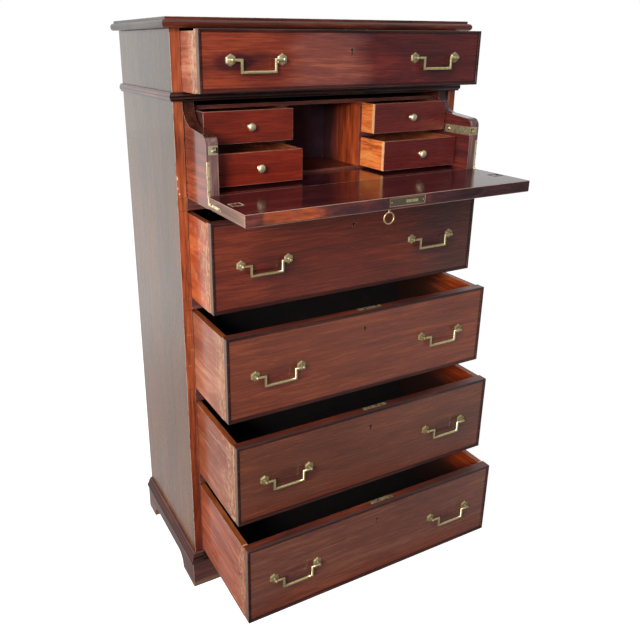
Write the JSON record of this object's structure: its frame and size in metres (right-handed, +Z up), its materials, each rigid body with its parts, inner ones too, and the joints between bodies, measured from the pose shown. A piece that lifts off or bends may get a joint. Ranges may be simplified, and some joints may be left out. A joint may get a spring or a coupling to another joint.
{
  "type": "secretaire chest",
  "caption": "Tall mahogany chest on bracket feet with a fall-front writing drawer, pigeonhole and small drawers, and long drawers with brass bail handles, all standing open.",
  "frame": {"origin": "middle of the box round the whole chest as it stands open, at floor level", "axes": "+Z up, -Y the way the drawers pull out, +X to the right of someone facing the chest's front"},
  "size_m": [0.695, 0.5842, 1.2327],
  "materials": {
    "case_mahogany": "polished mahogany, dark",
    "front_mahogany": "polished mahogany, red-brown",
    "lining": "bare mahogany drawer lining",
    "small_lining": "orange-brown small-drawer wood",
    "bare_mahogany": "unpolished backboards and floor",
    "brass": "aged brass"
  },
  "bodies": {
    "carcase": {"back_panel": "bare_mahogany", "base_moulding": "case_mahogany", "carcase_floor": "bare_mahogany", "front_plinth": "case_mahogany", "left_plinth": "case_mahogany", "left_side_panel": "case_mahogany", "lower_dustboard": "case_mahogany", "middle_dustboard": "case_mahogany", "right_plinth": "case_mahogany", "right_side_panel": "case_mahogany", "secretaire_dustboard": "case_mahogany", "top_board": "case_mahogany", "upper_dustboard": "case_mahogany", "waist_dustboard": "case_mahogany", "waist_moulding": "case_mahogany"},
    "top_drawer": {"top_drawer_front": "front_mahogany", "top_drawer_box": "lining"},
    "upper_drawer": {"upper_drawer_front": "front_mahogany", "upper_drawer_box": "lining"},
    "middle_drawer": {"middle_drawer_front": "front_mahogany", "middle_drawer_box": "lining"},
    "lower_drawer": {"lower_drawer_front": "front_mahogany", "lower_drawer_box": "lining"},
    "bottom_drawer": {"bottom_drawer_front": "front_mahogany", "bottom_drawer_box": "lining"},
    "secretaire_drawer": {"left_secretaire_arm": "front_mahogany", "right_secretaire_arm": "front_mahogany", "writing_bed": "front_mahogany", "secretaire_back": "bare_mahogany", "pigeonhole_nest": "front_mahogany", "left_hinge_arm_strip": "brass", "right_hinge_arm_strip": "brass", "left_catch_plate": "brass", "right_catch_plate": "brass"},
    "upper_left_small_drawer": {"upper_left_small_drawer": "small_lining", "upper_left_small_drawer_knob": "brass"},
    "upper_right_small_drawer": {"upper_right_small_drawer": "small_lining", "upper_right_small_drawer_knob": "brass"},
    "lower_left_small_drawer": {"lower_left_small_drawer": "small_lining", "lower_left_small_drawer_knob": "brass"},
    "lower_right_small_drawer": {"lower_right_small_drawer": "small_lining", "lower_right_small_drawer_knob": "brass"},
    "fall": {"fall_front": "front_mahogany", "left_hinge_fall_strip": "brass", "right_hinge_fall_strip": "brass", "fall_lock": "brass"},
    "top_drawer_left_bail": {"top_drawer_left_bail": "brass"},
    "top_drawer_right_bail": {"top_drawer_right_bail": "brass"},
    "upper_drawer_left_bail": {"upper_drawer_left_bail": "brass"},
    "upper_drawer_right_bail": {"upper_drawer_right_bail": "brass"},
    "middle_drawer_left_bail": {"middle_drawer_left_bail": "brass"},
    "middle_drawer_right_bail": {"middle_drawer_right_bail": "brass"},
    "lower_drawer_left_bail": {"lower_drawer_left_bail": "brass"},
    "lower_drawer_right_bail": {"lower_drawer_right_bail": "brass"},
    "bottom_drawer_left_bail": {"bottom_drawer_left_bail": "brass"},
    "bottom_drawer_right_bail": {"bottom_drawer_right_bail": "brass"},
    "left_catch_bolt": {"left_catch_bolt": "brass"},
    "right_catch_bolt": {"right_catch_bolt": "brass"},
    "key": {"key": "brass"},
    "fall_lock_bolt": {"fall_lock_bolt": "brass"}
  },
  "joints": [
    {"name": "top_drawer_slide", "type": "slide", "parent": "carcase", "child": "top_drawer", "axis": [0, -1, 0], "range_m": [-0.085, 0.17]},
    {"name": "upper_drawer_slide", "type": "slide", "parent": "carcase", "child": "upper_drawer", "axis": [0, -1, 0], "range_m": [-0.1117, 0.1183]},
    {"name": "middle_drawer_slide", "type": "slide", "parent": "carcase", "child": "middle_drawer", "axis": [0, -1, 0], "range_m": [-0.1675, 0.0875]},
    {"name": "lower_drawer_slide", "type": "slide", "parent": "carcase", "child": "lower_drawer", "axis": [0, -1, 0], "range_m": [-0.203, 0.052]},
    {"name": "bottom_drawer_slide", "type": "slide", "parent": "carcase", "child": "bottom_drawer", "axis": [0, -1, 0], "range_m": [-0.2432, 0.0118]},
    {"name": "secretaire_slide", "type": "slide", "parent": "carcase", "child": "secretaire_drawer", "axis": [0, -1, 0], "range_m": [-0.1243, 0.0457]},
    {"name": "upper_left_small_drawer_slide", "type": "slide", "parent": "secretaire_drawer", "child": "upper_left_small_drawer", "axis": [0, -1, 0], "range_m": [-0.046, 0.061]},
    {"name": "upper_right_small_drawer_slide", "type": "slide", "parent": "secretaire_drawer", "child": "upper_right_small_drawer", "axis": [0, -1, 0], "range_m": [-0.046, 0.061]},
    {"name": "lower_left_small_drawer_slide", "type": "slide", "parent": "secretaire_drawer", "child": "lower_left_small_drawer", "axis": [0, -1, 0], "range_m": [-0.085, 0.022]},
    {"name": "lower_right_small_drawer_slide", "type": "slide", "parent": "secretaire_drawer", "child": "lower_right_small_drawer", "axis": [0, -1, 0], "range_m": [-0.085, 0.022]},
    {"name": "fall_hinge", "type": "hinge", "parent": "secretaire_drawer", "child": "fall", "pos_m": [0, -0.1375, 0.9338], "axis": [1, 0, 0], "range_deg": [-90, 0]},
    {"name": "top_drawer_left_bail_swing", "type": "hinge", "parent": "top_drawer", "child": "top_drawer_left_bail", "pos_m": [-0.20169, -0.1284, 1.1617], "axis": [-1, 0, 0], "range_deg": [-18, 100]},
    {"name": "top_drawer_right_bail_swing", "type": "hinge", "parent": "top_drawer", "child": "top_drawer_right_bail", "pos_m": [0.19429, -0.1284, 1.1617], "axis": [-1, 0, 0], "range_deg": [-18, 100]},
    {"name": "upper_drawer_left_bail_swing", "type": "hinge", "parent": "upper_drawer", "child": "upper_drawer_left_bail", "pos_m": [-0.20169, -0.1551, 0.7994], "axis": [-1, 0, 0], "range_deg": [-18, 100]},
    {"name": "upper_drawer_right_bail_swing", "type": "hinge", "parent": "upper_drawer", "child": "upper_drawer_right_bail", "pos_m": [0.19429, -0.1551, 0.7994], "axis": [-1, 0, 0], "range_deg": [-18, 100]},
    {"name": "middle_drawer_left_bail_swing", "type": "hinge", "parent": "middle_drawer", "child": "middle_drawer_left_bail", "pos_m": [-0.20169, -0.2109, 0.596], "axis": [-1, 0, 0], "range_deg": [-18, 100]},
    {"name": "middle_drawer_right_bail_swing", "type": "hinge", "parent": "middle_drawer", "child": "middle_drawer_right_bail", "pos_m": [0.19429, -0.2109, 0.596], "axis": [-1, 0, 0], "range_deg": [-18, 100]},
    {"name": "lower_drawer_left_bail_swing", "type": "hinge", "parent": "lower_drawer", "child": "lower_drawer_left_bail", "pos_m": [-0.20169, -0.2464, 0.3866], "axis": [-1, 0, 0], "range_deg": [-18, 100]},
    {"name": "lower_drawer_right_bail_swing", "type": "hinge", "parent": "lower_drawer", "child": "lower_drawer_right_bail", "pos_m": [0.19429, -0.2464, 0.3866], "axis": [-1, 0, 0], "range_deg": [-18, 100]},
    {"name": "bottom_drawer_left_bail_swing", "type": "hinge", "parent": "bottom_drawer", "child": "bottom_drawer_left_bail", "pos_m": [-0.20169, -0.2866, 0.1802], "axis": [-1, 0, 0], "range_deg": [-18, 100]},
    {"name": "bottom_drawer_right_bail_swing", "type": "hinge", "parent": "bottom_drawer", "child": "bottom_drawer_right_bail", "pos_m": [0.19429, -0.2866, 0.1802], "axis": [-1, 0, 0], "range_deg": [-18, 100]},
    {"name": "left_catch_bolt_slide", "type": "slide", "parent": "secretaire_drawer", "child": "left_catch_bolt", "axis": [0, 1, 0], "range_m": [0, 0.006], "stiffness_N_per_m": 150, "springref_m": -0.008},
    {"name": "right_catch_bolt_slide", "type": "slide", "parent": "secretaire_drawer", "child": "right_catch_bolt", "axis": [0, 1, 0], "range_m": [0, 0.006], "stiffness_N_per_m": 150, "springref_m": -0.008},
    {"name": "key_turn", "type": "hinge", "parent": "fall", "child": "key", "pos_m": [-0.0176, -0.2769, 0.9338], "axis": [0, 0, 1], "range_deg": [0, 90]},
    {"name": "lock_bolt_slide", "type": "slide", "parent": "fall", "child": "fall_lock_bolt", "axis": [0, -1, 0], "range_m": [0, 0.005]}
  ],
  "couplings": [
    {"joint": "key_turn", "follows": "lock_bolt_slide", "rad_per_m": 314.16}
  ]
}
